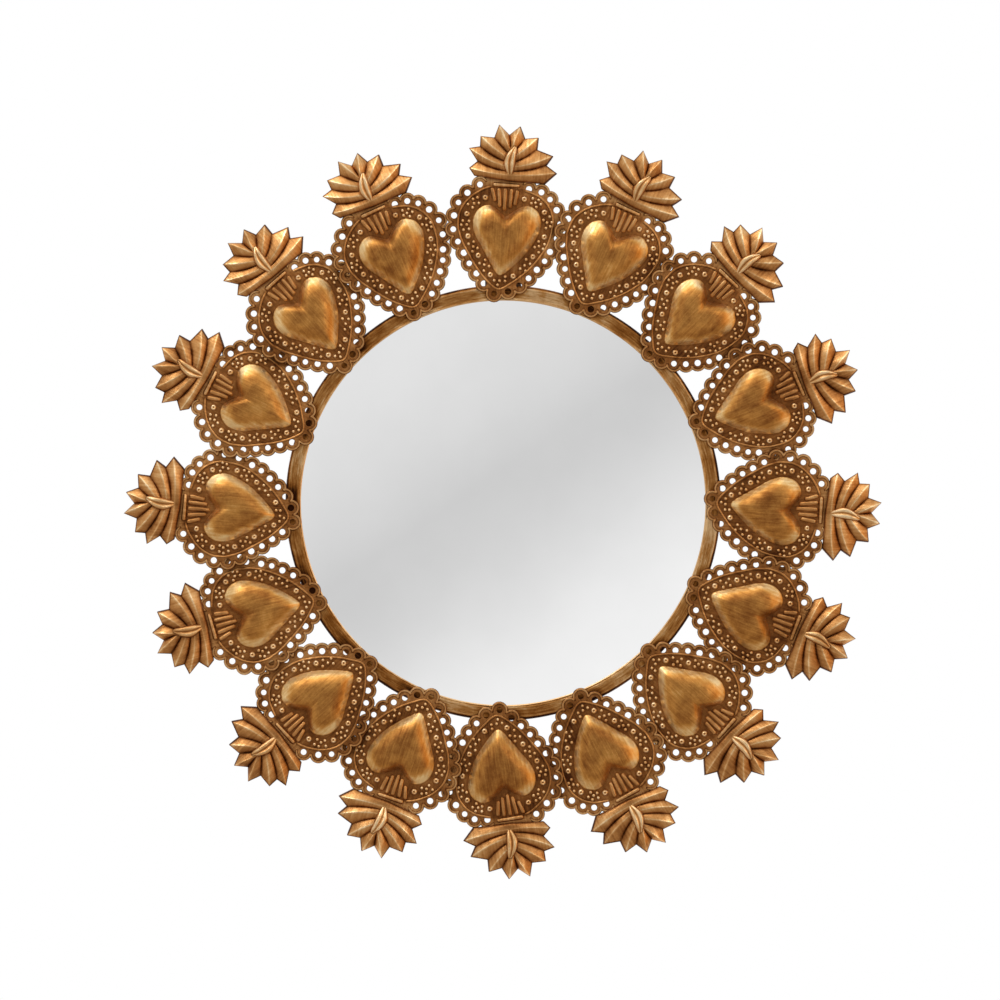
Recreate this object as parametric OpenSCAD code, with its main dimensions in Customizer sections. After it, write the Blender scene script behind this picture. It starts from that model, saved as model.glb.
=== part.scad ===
// Round wall mirror in a thin metal ring, with a wreath of sixteen cast badges round it.
// Each badge is a puffed heart in a beaded plate with a pierced lace edge and a folded flame.
// The mirror lies in XZ and looks along -Y, +Z is up, and Y = 0 is the back of the board.
// Lengths are in millimetres.

/* [Ring] */
// Radius of the glass that shows inside the ring
sight_r = 134.6; // [125:0.2:145]
// How far the glass passes under the ring's face
glass_lap = 2.4; // [1.5:0.1:4]
// Width of the room for packers and studs between the glass and the ring's wall
packer_w = 6.4; // [6:0.1:10]
// Metal thickness of the ring
ring_t = 1.2; // [1:0.1:2]
// Rounding of the ring's outer front edge
ring_edge_r = 2.2; // [1.5:0.1:3]

/* [Glass and board] */
// Glass thickness
glass_t = 3; // [2:0.5:4]
// Board thickness
board_t = 5; // [3:0.5:8]
// Length of each packer beside the glass
packer_len = 18; // [12:1:30]
// Depth of each packer
packer_deep = 7; // [5:0.5:8]

/* [Wreath] */
// Distance from the ring's outer edge to the badges' own origins
badge_out = 31.4; // [28:0.1:36]
// Turn of each badge about its own long axis, so that its left lace lies over its neighbour
shingle_deg = 2.4; // [1.6:0.1:3]
// Gap between the ring's face and a badge's back, on the badge's axis
seat_gap = 0.8; // [0.5:0.05:1.2]
// Radius of the brazed lug behind a badge's tip
lug_r = 2.3; // [1.5:0.1:3]

/* [Badge outline] */
// Half the width of a badge, across its lace
badge_half = 40; // [36:0.5:44]
// Plate thickness
plate_t = 1.3; // [1:0.1:2]
// Radius of one lace scallop
scallop_r = 5.7; // [5:0.1:7]
// Radius of a lace hole
lace_hole_r = 1.95; // [1.5:0.05:2.5]
// Width of the raised line on the lace's edge
lace_line_w = 1.3; // [0.8:0.1:2]
// Height of the raised line on the lace's edge
lace_line_h = 0.6; // [0.4:0.05:1]
// Width of the raised wire round the beaded ground
wire_w = 1.4; // [1:0.1:2]
// Height of the raised wire above the plate
wire_h = 0.8; // [0.5:0.05:1]

/* [Badge relief] */
// Height of the heart above the plate
heart_h = 8; // [5:0.5:12]
// Wall thickness of the hollow heart
heart_wall = 1.4; // [1:0.1:2.5]
// Radius of a large bead
bead_r = 2.2; // [1.8:0.1:2.6]
// Radius of the dimple in a large bead
dimple_r = 0.55; // [0.3:0.05:0.8]
// Radius of a small bead
seed_r = 1.05; // [0.7:0.05:1.2]
// Radius of the rays above the heart
ray_r = 1.15; // [0.8:0.05:1.5]
// Radius of the bar under the flame
neck_r = 1.15; // [0.8:0.05:1.25]

/* [Flame] */
// Height of the flame's leaf ridges
ridge_h = 6.4; // [4:0.2:8]
// Height of the grooves between the leaves
groove_h = 3.2; // [2:0.1:4]
// Height of the leaf tips
tip_h = 2.6; // [1.5:0.1:4]
// Height of the flame's lower edge
base_h = 3.6; // [2:0.1:5]
// Height of the curl in front of the leaves
curl_h = 9.4; // [7:0.2:12]

/* [Turn buttons] */
// Length of a button from its stud to its far end
button_len = 15; // [12:0.5:20]
// Half the width of a button
button_half = 3; // [2.5:0.1:4]
// Thickness of a button
button_t = 1.2; // [0.8:0.1:2]
// Radius of a stud
stud_r = 1.25; // [1:0.05:1.5]
// Half the width of a nut across its flats
nut_half = 2.5; // [2:0.1:3]
// Thickness of a nut
nut_t = 2; // [1.5:0.1:2.5]
// Running gap round a stud and over the board
run_gap = 0.06; // [0.03:0.01:0.1]

/* [Hanging tab and pads] */
// Width of the hanging tab
tab_w = 24; // [18:1:30]
// Length of the tab beyond the ring
tab_len = 34; // [28:1:40]
// Thickness of the tab
tab_t = 1.5; // [1.2:0.1:2.5]
// Depth of the tab's foot on the ring's side
foot_deep = 6.5; // [5:0.5:8]
// Radius of the keyhole's round hole
key_r = 5; // [4:0.25:6]
// Half the width of the keyhole's slot
slot_half = 2.5; // [2:0.1:3]
// Height of the slot's end over the round hole's centre
slot_rise = 9; // [8:0.5:12]
// Radius of a wall pad
pad_r = 6; // [5:0.5:8]
// Height of a wall pad
pad_h = 5; // [4:0.5:6]
// Distance from the board's edge to the middle of a pad
pad_inset = 29; // [22:1:45]

/* [Hidden] */
$fn = 48;
cut_over = 0.5;
badges = 16;
step_deg = 360 / badges;
glass_r = sight_r + glass_lap;
wall_in_r = glass_r + packer_w;
ring_r = wall_in_r + ring_t;
ring_deep = ring_t + glass_t + board_t;
wreath_r = ring_r + badge_out;
button_ring_r = glass_r + packer_w / 2;
pad_ring_r = glass_r - pad_inset;
button_angles = [45, 135, 225, 315];
packer_angles = [0, 90, 180, 270];

// Place of each badge, clockwise from the top: its shift along the wreath and its lean, both
// in degrees, and its reach as a share of the wreath's radius.
shift_deg = [0.4, 0.6, 0.9, 1.2, 1.4, 1.5, 1.4, 0.9, 0.6, -0.8, -2, -1.7, -1.5, -0.7, -1, -1];
lean_deg = [3, 1.5, -2.5, -2, 1.5, -3.5, -5, -7, -9.5, -3, 4.5, 8.5, 6, 4.5, 4, -1.5];
reach_shares = [1, 1.004, 1.002, 1.005, 1.001, 1.002, 1, 1.002, 0.997, 0.994, 0.998, 0.995,
    1.004, 0.995, 1.001, 1.006];

// How far a large bead is sunk in the plate, as a share of its radius.
bead_sink_share = 0.22;

// The badge's own outlines, all as shares of badge_half: first across, then outwards.
heart_shares = [[-0.02, 0.35], [-0.09, 0.41], [-0.17, 0.47], [-0.26, 0.52], [-0.36, 0.51],
    [-0.45, 0.45], [-0.51, 0.35], [-0.535, 0.23], [-0.51, 0.1], [-0.45, -0.03],
    [-0.37, -0.15], [-0.28, -0.3], [-0.18, -0.46], [-0.11, -0.56], [-0.05, -0.595],
    [0.01, -0.57], [0.1, -0.49], [0.21, -0.38], [0.32, -0.26], [0.42, -0.12], [0.5, 0.03],
    [0.55, 0.17], [0.565, 0.29], [0.53, 0.41], [0.46, 0.49], [0.37, 0.54], [0.27, 0.53],
    [0.18, 0.49], [0.1, 0.43], [0.04, 0.38]];
wire_shares = [[-0.3, 0.87], [-0.42, 0.82], [-0.53, 0.75], [-0.63, 0.67], [-0.71, 0.58],
    [-0.77, 0.48], [-0.81, 0.37], [-0.82, 0.25], [-0.81, 0.12], [-0.77, 0], [-0.72, -0.12],
    [-0.63, -0.27], [-0.53, -0.43], [-0.42, -0.58], [-0.31, -0.7], [-0.2, -0.8],
    [-0.13, -0.85], [-0.07, -0.87], [0.01, -0.85], [0.13, -0.77], [0.28, -0.66],
    [0.42, -0.53], [0.54, -0.39], [0.65, -0.23], [0.73, -0.07], [0.78, 0.1], [0.8, 0.27],
    [0.79, 0.4], [0.75, 0.51], [0.69, 0.61], [0.61, 0.69], [0.52, 0.75], [0.42, 0.79],
    [0.3, 0.83], [0.2, 0.86], [0, 0.885]];
scallop_shares = [[-0.47, 0.87], [-0.67, 0.72], [-0.81, 0.55], [-0.87, 0.33], [-0.87, 0.1],
    [-0.78, -0.1], [-0.67, -0.28], [-0.57, -0.45], [-0.44, -0.61], [-0.31, -0.77],
    [-0.13, -0.93], [0.1, -0.88], [0.28, -0.77], [0.43, -0.64], [0.56, -0.49],
    [0.68, -0.34], [0.76, -0.18], [0.86, 0.05], [0.9, 0.29], [0.83, 0.52], [0.71, 0.69],
    [0.56, 0.8], [0.35, 0.84]];
lug_share = [-0.02, -0.905];
neck_shares = [[-0.3, 0.8], [0.22, 0.8], [0.26, 1.0], [-0.34, 1.04]];
bead_shares = [[-0.37, 0.66], [0.28, 0.67], [-0.66, 0.37], [0.63, 0.47], [-0.62, 0],
    [0.65, 0.06], [-0.43, -0.31], [0.48, -0.28], [-0.21, -0.62], [0.17, -0.62]];
seed_shares = [[-0.5, 0.65], [-0.57, 0.62], [-0.47, 0.56], [-0.55, 0.55], [-0.65, 0.53],
    [-0.57, 0.48], [0.42, 0.69], [0.52, 0.67], [0.4, 0.61], [0.47, 0.62], [0.56, 0.6],
    [0.49, 0.55], [-0.72, 0.25], [-0.62, 0.25], [-0.74, 0.18], [-0.65, 0.19], [-0.7, 0.1],
    [-0.61, 0.12], [0.72, 0.4], [0.62, 0.34], [0.68, 0.3], [0.76, 0.31], [0.67, 0.21],
    [0.74, 0.24], [-0.52, -0.09], [-0.6, -0.13], [-0.52, -0.17], [-0.45, -0.19],
    [-0.53, -0.25], [0.56, -0.02], [0.66, -0.06], [0.57, -0.1], [0.5, -0.12], [0.64, -0.14],
    [0.57, -0.2], [-0.31, -0.38], [-0.4, -0.44], [-0.32, -0.46], [-0.24, -0.48],
    [-0.32, -0.56], [0.37, -0.33], [0.44, -0.4], [0.35, -0.43], [0.28, -0.49], [0.37, -0.52],
    [-0.05, -0.71], [0.04, -0.64], [0.04, -0.71], [-0.14, -0.71], [-0.08, -0.78]];
ray_shares = [[-0.26, 0.8, -0.21, 0.64], [-0.15, 0.8, -0.12, 0.55], [-0.04, 0.8, -0.04, 0.5],
    [0.06, 0.8, 0.05, 0.54], [0.16, 0.78, 0.13, 0.59]];
neck_bar_shares = [-0.25, 0.9, 0.18, 0.9];

// The flame: its middle, its leaf tips, the notches between them with the lower corners at
// both ends, and the lower edge from right to left.
flame_mid_share = [0.01, 1.07];
tip_shares = [[-0.66, 1.13], [-0.68, 1.46], [-0.5, 1.67], [-0.2, 1.88], [0.15, 1.87],
    [0.46, 1.7], [0.72, 1.41], [0.8, 1.13]];
notch_shares = [[-0.57, 1.01], [-0.53, 1.25], [-0.5, 1.5], [-0.27, 1.66], [-0.02, 1.72],
    [0.24, 1.67], [0.45, 1.5], [0.62, 1.25], [0.61, 0.94]];
foot_shares = [[0.01, 0.94], [-0.4, 0.97]];
curl_left_shares = [[0, 1.01], [-0.04, 1.1], [-0.07, 1.21], [-0.07, 1.31], [-0.04, 1.41],
    [0, 1.49], [0.06, 1.52]];
curl_right_shares = [[0.03, 1.01], [0.06, 1.1], [0.08, 1.21], [0.08, 1.3], [0.06, 1.39],
    [0.08, 1.45], [0.1, 1.5]];
curl_inset_share = 0.28;

// Levels of the heart: the share of its outline and the share of its height.
level_shares = [[1, -0.08], [0.975, 0.36], [0.9, 0.64], [0.76, 0.84], [0.54, 0.96], [0.24, 1]];
hollow_shares = [[0.9, -0.3], [0.86, 0.4], [0.72, 0.82], [0.42, 1]];
heart_mid_share = [0, 0.04];

wood = [0.42, 0.3, 0.2];
gold = [0.72, 0.5, 0.22];
bronze = [0.55, 0.37, 0.16];
silver = [0.84, 0.86, 0.88];
black = [0.12, 0.12, 0.12];
steel = [0.6, 0.6, 0.62];

function two(k) = k < 10 ? str("0", k) : str(k);
function mid_to(p, share) = flame_mid_share + share * (p - flame_mid_share);
function mixed(p, q, share) = p + share * (q - p);
function at(p, h) = [badge_half * p.x, badge_half * p.y, h];

// A round bar between two places on the badge, half sunk in the plate, with eased ends.
module bar(s, r) {
    from = badge_half * [s[0], s[1]];
    to = badge_half * [s[2], s[3]];
    run = to - from;
    long = norm(run) + 2 * r;
    translate([from.x, from.y, plate_t])
        rotate([0, 0, atan2(run.y, run.x)])
            rotate([0, 90, 0])
                translate([0, 0, -r])
                    rotate_extrude()
                        polygon([[0, 0], [r / 2, 0], [r, r / 2], [r, long - r / 2],
                            [r / 2, long], [0, long]]);
}

// Scaled copies of the heart's outline, every step-th point of it, stacked into a dome.
module heart_stack(levels, height, step) {
    outline = [for (j = [0:step:len(heart_shares) - 1]) heart_shares[j]];
    n = len(outline);
    last = len(levels) - 1;
    points = [for (l = levels) for (p = outline)
        at(heart_mid_share + l[0] * (p - heart_mid_share), plate_t + l[1] * height)];
    sides = [for (i = [0:last - 1]) for (j = [0:n - 1])
        [(i + 1) * n + j, (i + 1) * n + (j + 1) % n, i * n + (j + 1) % n, i * n + j]];
    floor_face = [[for (j = [0:n - 1]) j]];
    top_face = [[for (j = [n - 1:-1:0]) last * n + j]];
    polyhedron(points = points, faces = concat(sides, floor_face, top_face));
}

// The folded leaves: ridges run from the middle to the tips, grooves to the notches.
module flame() {
    tips = len(tip_shares);
    rim = tips * 2 + 1 + len(foot_shares);
    edge = concat([for (i = [0:tips - 1]) each [at(notch_shares[i], groove_h * 0.7),
        at(tip_shares[i], tip_h)]], [at(notch_shares[tips], groove_h * 0.7)],
        [for (p = foot_shares) at(p, base_h)]);
    low = [for (p = edge) [p.x, p.y, plate_t / 4]];
    ridges = [for (p = tip_shares) at(mid_to(p, 0.55), ridge_h)];
    grooves = [for (p = notch_shares) at(mid_to(p, 0.55), groove_h)];
    points = concat(edge, low, ridges, grooves, [at(flame_mid_share, ridge_h * 0.9),
        at(flame_mid_share, plate_t / 4)]);
    r0 = 2 * rim;
    g0 = r0 + tips;
    c = g0 + tips + 1;
    leaves = [for (i = [0:tips - 1]) each [[c, g0 + i, r0 + i], [g0 + i, 2 * i, 2 * i + 1],
        [g0 + i, 2 * i + 1, r0 + i], [c, r0 + i, g0 + i + 1],
        [r0 + i, 2 * i + 1, g0 + i + 1], [g0 + i + 1, 2 * i + 1, 2 * i + 2]]];
    skirt = [[c, g0 + tips, rim - 2], [g0 + tips, 2 * tips, rim - 2],
        [c, rim - 2, rim - 1], [c, rim - 1, g0], [g0, rim - 1, 0]];
    walls = [for (j = [0:rim - 1]) [j, rim + j, rim + (j + 1) % rim, (j + 1) % rim]];
    under = [for (j = [0:rim - 1]) [c + 1, rim + (j + 1) % rim, rim + j]];
    polyhedron(points = points, faces = concat(leaves, skirt, walls, under));
}

// The curl that stands in front of the leaves.
module curl() {
    n = len(curl_left_shares);
    round_trip = concat(curl_left_shares, [for (i = [n - 1:-1:0]) curl_right_shares[i]]);
    m = 2 * n;
    low = [for (p = round_trip) at(p, plate_t / 2)];
    high = [for (i = [0:m - 1]) at(mixed(round_trip[i], round_trip[m - 1 - i],
        curl_inset_share), curl_h)];
    walls = [for (j = [0:m - 1]) each [[j, m + (j + 1) % m, m + j],
        [j, (j + 1) % m, m + (j + 1) % m]]];
    floor_face = [[for (j = [0:m - 1]) m - 1 - j]];
    top_face = [[for (j = [0:m - 1]) m + j]];
    polyhedron(points = concat(low, high), faces = concat(walls, floor_face, top_face));
}

module scallops(r) {
    for (p = scallop_shares)
        translate(badge_half * p)
            circle(r = r);
}

module ground() {
    polygon(badge_half * wire_shares);
}

// The wire's outline drawn narrower by one width, towards the badge's middle.
module ground_inside() {
    polygon([for (p = badge_half * wire_shares) p - wire_w * p / norm(p)]);
}

module neck() {
    polygon(badge_half * neck_shares);
}

module plate() {
    linear_extrude(plate_t)
        difference() {
            union() {
                scallops(scallop_r);
                ground();
                polygon(badge_half * scallop_shares);
                neck();
            }
            scallops(lace_hole_r);
        }
    linear_extrude(plate_t + lace_line_h)
        difference() {
            scallops(scallop_r);
            scallops(scallop_r - lace_line_w);
            ground();
        }
    linear_extrude(plate_t + wire_h)
        difference() {
            ground();
            ground_inside();
            neck();
        }
}

module beads() {
    for (p = bead_shares)
        difference() {
            translate(at(p, plate_t - bead_r * bead_sink_share))
                sphere(r = bead_r);
            translate(at(p, plate_t + bead_r * (1 - bead_sink_share)))
                sphere(r = dimple_r);
            translate(at(p, -2 * bead_r))
                translate([-bead_r, -bead_r, 0])
                    cube([2 * bead_r, 2 * bead_r, 2 * bead_r + cut_over]);
        }
}

module seeds() {
    for (p = seed_shares)
        translate(at(p, plate_t / 2))
            cylinder(r1 = seed_r, r2 = seed_r / 2, h = plate_t / 2 + seed_r);
}

// One casting, lying flat: its back on z = 0 and its front towards +z.
module casting() {
    difference() {
        union() {
            plate();
            heart_stack(level_shares, heart_h, 1);
            flame();
            curl();
            beads();
            seeds();
            for (s = ray_shares)
                bar(s, ray_r);
            bar(neck_bar_shares, neck_r);
        }
        heart_stack(hollow_shares, heart_h - heart_wall, 2);
    }
}

module badge(k) {
    rotate([0, (k - 1) * step_deg + shift_deg[k - 1], 0])
        translate([0, -ring_deep, wreath_r * reach_shares[k - 1]])
            rotate([0, lean_deg[k - 1], 0]) {
                translate([0, -seat_gap, 0])
                    rotate([0, 0, shingle_deg])
                        rotate([90, 0, 0])
                            color(gold)
                                casting();
                translate([badge_half * lug_share.x, 0, badge_half * lug_share.y])
                    rotate([90, 0, 0])
                        color(gold)
                            cylinder(r = lug_r, h = seat_gap + plate_t / 2);
            }
}

// Laid flat like the casting: z = 0 is the ring's back edge and +z is towards the front.
module faced() {
    rotate([90, 0, 0])
        children();
}

module spun(angles, r) {
    for (a = angles)
        rotate([0, 0, -a])
            translate([0, r, 0])
                children();
}

module ring_frame() {
    color(bronze)
        faced()
            rotate_extrude()
                polygon(concat([[wall_in_r, 0], [ring_r, 0]],
                    [for (a = [0:15:90]) [ring_r - ring_edge_r + ring_edge_r * cos(a),
                        ring_deep - ring_edge_r + ring_edge_r * sin(a)]],
                    [[sight_r + ring_t / 2, ring_deep], [sight_r, ring_deep - ring_t / 2],
                    [sight_r, ring_deep - ring_t], [wall_in_r, ring_deep - ring_t]]));
}

module mirror_glass() {
    color(silver)
        faced()
            translate([0, 0, board_t])
                cylinder(r = glass_r, h = glass_t);
}

module backing_board() {
    color(wood)
        faced()
            cylinder(r = glass_r, h = board_t);
}

module edge_packers() {
    color(black)
        faced()
            spun(packer_angles, 0)
                intersection() {
                    difference() {
                        cylinder(r = wall_in_r, h = packer_deep);
                        translate([0, 0, -cut_over])
                            cylinder(r = glass_r, h = packer_deep + 2 * cut_over);
                    }
                    translate([-packer_len / 2, glass_r - packer_w, 0])
                        cube([packer_len, 3 * packer_w, packer_deep]);
                }
}

module button_studs() {
    stud_out = button_t + nut_t + 4 * run_gap + stud_r / 4;
    color(steel)
        faced()
            spun(button_angles, button_ring_r)
                translate([0, 0, -stud_out])
                    cylinder(r = stud_r, h = ring_deep - ring_t + stud_out);
}

module turn_button(k) {
    color(steel)
        faced()
            spun([button_angles[k - 1]], button_ring_r)
                translate([0, 0, -run_gap - button_t])
                    linear_extrude(button_t)
                        difference() {
                            union() {
                                circle(r = button_half);
                                translate([0, button_half - button_len])
                                    circle(r = button_half);
                                translate([-button_half, button_half - button_len])
                                    square([2 * button_half, button_len - button_half]);
                            }
                            circle(r = stud_r + run_gap);
                        }
}

module button_nuts() {
    color(steel)
        faced()
            spun(button_angles, button_ring_r)
                translate([0, 0, -2 * run_gap - button_t - nut_t])
                    difference() {
                        cylinder(r = nut_half / cos(30), h = nut_t, $fn = 6);
                        translate([0, 0, -cut_over])
                            cylinder(r = stud_r + run_gap / 2, h = nut_t + 2 * cut_over);
                    }
}

// A flat tab with a keyhole, and a foot curved to the ring's side.
module hanging_tab() {
    key_z = ring_r + tab_len - slot_rise - slot_half - tab_w / 6;
    color(bronze)
        faced()
            difference() {
                union() {
                    intersection() {
                        difference() {
                            cylinder(r = ring_r + tab_t, h = foot_deep);
                            translate([0, 0, -cut_over])
                                cylinder(r = ring_r, h = foot_deep + 2 * cut_over);
                        }
                        translate([-tab_w / 2, ring_r - tab_w / 6, 0])
                            cube([tab_w, tab_w / 2, foot_deep]);
                    }
                    linear_extrude(tab_t)
                        difference() {
                            union() {
                                translate([-tab_w / 2, ring_r - tab_w / 6])
                                    square([tab_w, tab_len + tab_w / 6 - tab_w / 4]);
                                translate([-tab_w / 4, ring_r + tab_len / 2])
                                    square([tab_w / 2, tab_len / 2]);
                                for (side = [-1, 1])
                                    translate([side * tab_w / 4, ring_r + tab_len - tab_w / 4])
                                        circle(r = tab_w / 4);
                            }
                            circle(r = ring_r);
                        }
                }
                translate([0, key_z, -cut_over])
                    cylinder(r = key_r, h = tab_t + 2 * cut_over);
                translate([0, key_z + slot_rise, -cut_over])
                    cylinder(r = slot_half, h = tab_t + 2 * cut_over);
                translate([-slot_half, key_z, -cut_over])
                    cube([2 * slot_half, slot_rise, tab_t + 2 * cut_over]);
            }
}

module wall_pads() {
    color(black)
        faced()
            spun(button_angles, pad_ring_r)
                translate([0, 0, -pad_h])
                    cylinder(r1 = pad_r * 0.85, r2 = pad_r, h = pad_h);
}

badge(1);  // badge_01
badge(2);  // badge_02
badge(3);  // badge_03
badge(4);  // badge_04
badge(5);  // badge_05
badge(6);  // badge_06
badge(7);  // badge_07
badge(8);  // badge_08
badge(9);  // badge_09
badge(10);  // badge_10
badge(11);  // badge_11
badge(12);  // badge_12
badge(13);  // badge_13
badge(14);  // badge_14
badge(15);  // badge_15
badge(16);  // badge_16
ring_frame();
mirror_glass();
backing_board();
edge_packers();
button_studs();
turn_button(1);  // turn_button_1
turn_button(2);  // turn_button_2
turn_button(3);  // turn_button_3
turn_button(4);  // turn_button_4
button_nuts();
hanging_tab();
wall_pads();
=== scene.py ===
# %% [markdown]
# # A wall mirror in a wreath of cast hearts
# This lesson dresses a round wall mirror. Its construction, the frame, was made elsewhere and
# is loaded as it is: every piece already has its right size and place, in metres. What is
# added here are the castings in full detail, the ring's fine edges, the finishes, the light
# and the camera.

# %% Load the frame
import bpy
import math
from mathutils import Matrix, Vector


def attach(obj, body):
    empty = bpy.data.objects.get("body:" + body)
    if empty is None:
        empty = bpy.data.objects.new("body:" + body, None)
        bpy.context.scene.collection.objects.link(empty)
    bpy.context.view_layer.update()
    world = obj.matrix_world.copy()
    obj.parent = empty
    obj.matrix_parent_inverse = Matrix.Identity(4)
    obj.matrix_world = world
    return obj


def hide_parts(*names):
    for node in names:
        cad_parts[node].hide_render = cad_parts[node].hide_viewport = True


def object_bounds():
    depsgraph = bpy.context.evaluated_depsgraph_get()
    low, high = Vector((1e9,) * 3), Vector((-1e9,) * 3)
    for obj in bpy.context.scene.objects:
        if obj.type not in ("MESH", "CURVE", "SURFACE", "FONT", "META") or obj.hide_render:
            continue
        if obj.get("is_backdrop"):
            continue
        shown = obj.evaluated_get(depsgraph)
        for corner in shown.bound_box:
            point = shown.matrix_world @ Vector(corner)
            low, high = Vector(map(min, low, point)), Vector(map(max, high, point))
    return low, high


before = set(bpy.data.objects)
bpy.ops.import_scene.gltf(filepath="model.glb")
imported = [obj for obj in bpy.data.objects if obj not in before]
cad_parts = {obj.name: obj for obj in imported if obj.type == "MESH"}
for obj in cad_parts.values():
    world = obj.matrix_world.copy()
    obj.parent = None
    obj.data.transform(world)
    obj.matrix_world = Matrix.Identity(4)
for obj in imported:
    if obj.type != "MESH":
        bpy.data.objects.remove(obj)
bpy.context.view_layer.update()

MM = 0.001

# %% [markdown]
# ## Working by hand, in code
# Each operator acts on everything that is selected, so a fresh piece starts with nothing
# selected. Points are picked by their place, as one would pick them with a box in the view.


# %% Small helpers for picking and finishing
def nothing_picked():
    if bpy.context.object and bpy.context.object.mode != "OBJECT":
        bpy.ops.object.mode_set(mode="OBJECT")
    bpy.ops.object.select_all(action="DESELECT")


def new_piece(name):
    piece = bpy.context.object
    piece.name = piece.data.name = name
    return piece


def work_on(piece):
    nothing_picked()
    piece.select_set(True)
    bpy.context.view_layer.objects.active = piece


def edit(piece, kind="VERT", action="SELECT"):
    """Enters edit mode with the whole piece picked, or with nothing picked."""
    work_on(piece)
    bpy.ops.object.mode_set(mode="EDIT")
    bpy.ops.mesh.select_mode(type=kind)
    bpy.ops.mesh.select_all(action=action)


def leave_edit():
    bpy.ops.object.mode_set(mode="OBJECT")


def pick(piece, test):
    """Enters edit mode with the points picked whose place passes the test."""
    edit(piece, action="DESELECT")
    leave_edit()
    for v in piece.data.vertices:
        v.select = test(v.co)
    bpy.ops.object.mode_set(mode="EDIT")


def close_up(piece, gap=0.01 * MM):
    """Merges points that lie on each other and turns all faces outwards."""
    edit(piece)
    bpy.ops.mesh.remove_doubles(threshold=gap)
    bpy.ops.mesh.normals_make_consistent(inside=False)
    leave_edit()


def keep_modifiers(piece):
    work_on(piece)
    for m in list(piece.modifiers):
        bpy.ops.object.modifier_apply(modifier=m.name)


def rounder(piece, levels):
    m = piece.modifiers.new("Rounder", "SUBSURF")
    m.levels = m.render_levels = levels
    keep_modifiers(piece)


def joined(pieces, name):
    work_on(pieces[0])
    for p in pieces:
        p.select_set(True)
    bpy.ops.object.join()
    return new_piece(name)


# %% [markdown]
# ## How worn each place is, and where light is painted
# Old gilt metal is bright where hands and cloths rub it and dark in its hollows. Each point
# of a casting carries one number for this, 0 in a hollow and 1 on a crest, which the finish
# reads later. The same number also carries painted light: painted highlights on crests and
# on the ring's bead, and painted shade on side walls, on the heart's crown and on the ring
# under the badges' tips. In a few shaded places it is raised instead, as painted light. It
# is set while the piece is made, when its height is easy to know. The heart carries a second
# number, because its gilding is thicker and yellower than the rest.


# %% The number for wear and painted light
def set_layer(piece, name, values):
    layer = piece.data.attributes.new(name, "FLOAT", "POINT")
    layer.data.foreach_set("value", values)


def set_wear_and_light(piece, rule):
    set_layer(piece, "wear_and_light", [rule(v.co) for v in piece.data.vertices])


def eased(value, low, high):
    """Rises softly from 0 at one value to 1 at the other."""
    t = min(max((value - low) / (high - low), 0), 1)
    return t * t * (3 - 2 * t)


def new_chart(piece):
    """One empty map in place of those that the primitives brought."""
    while piece.data.uv_layers:
        piece.data.uv_layers.remove(piece.data.uv_layers[0])
    return piece.data.uv_layers.new(name="UVMap")


# %% [markdown]
# ## The casting's outlines
# One badge is drawn flat: x to its right, y out along the wreath, z towards the front. All
# outlines are shares of half its width. A smooth curve is laid through each set of points.


# %% Outlines as shares of half the width
HALF = 40 * MM
WEB = 0.95 * MM
HEART_MID = (0, 0.04)
heart_shares = [
    (-0.02, 0.35), (-0.09, 0.41), (-0.17, 0.47), (-0.26, 0.52), (-0.36, 0.51),
    (-0.45, 0.45), (-0.51, 0.35), (-0.535, 0.23), (-0.51, 0.1), (-0.45, -0.03),
    (-0.37, -0.15), (-0.28, -0.3), (-0.18, -0.46), (-0.11, -0.56), (-0.05, -0.595),
    (0.01, -0.57), (0.1, -0.49), (0.21, -0.38), (0.32, -0.26), (0.42, -0.12),
    (0.5, 0.03), (0.55, 0.17), (0.565, 0.29), (0.53, 0.41), (0.46, 0.49), (0.37, 0.54),
    (0.27, 0.53), (0.18, 0.49), (0.1, 0.43), (0.04, 0.38)]
wire_shares = [
    (-0.3, 0.87), (-0.42, 0.82), (-0.53, 0.75), (-0.63, 0.67), (-0.71, 0.58),
    (-0.77, 0.48), (-0.81, 0.37), (-0.82, 0.25), (-0.81, 0.12), (-0.77, 0),
    (-0.72, -0.12), (-0.63, -0.27), (-0.53, -0.43), (-0.42, -0.58), (-0.31, -0.7),
    (-0.2, -0.8), (-0.13, -0.85), (-0.07, -0.87), (0.01, -0.85), (0.13, -0.77),
    (0.28, -0.66), (0.42, -0.53), (0.54, -0.39), (0.65, -0.23), (0.73, -0.07),
    (0.78, 0.1), (0.8, 0.27), (0.79, 0.4), (0.75, 0.51), (0.69, 0.61), (0.61, 0.69),
    (0.52, 0.75), (0.42, 0.79), (0.3, 0.83)]
scallop_shares = [
    (-0.47, 0.87), (-0.67, 0.72), (-0.81, 0.55), (-0.87, 0.33), (-0.87, 0.1),
    (-0.78, -0.1), (-0.67, -0.28), (-0.57, -0.45), (-0.44, -0.61), (-0.31, -0.77),
    (-0.13, -0.93), (0.1, -0.88), (0.28, -0.77), (0.43, -0.64), (0.56, -0.49),
    (0.68, -0.34), (0.76, -0.18), (0.86, 0.05), (0.9, 0.29), (0.83, 0.52),
    (0.71, 0.69), (0.56, 0.8), (0.35, 0.84)]
neck_top_shares = [(0.24, 0.98), (-0.32, 1.02)]
bead_shares = [(-0.37, 0.66), (0.28, 0.67), (-0.66, 0.37), (0.63, 0.47), (-0.62, 0),
               (0.65, 0.06), (-0.43, -0.31), (0.48, -0.28), (-0.21, -0.62), (0.17, -0.62)]
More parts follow.
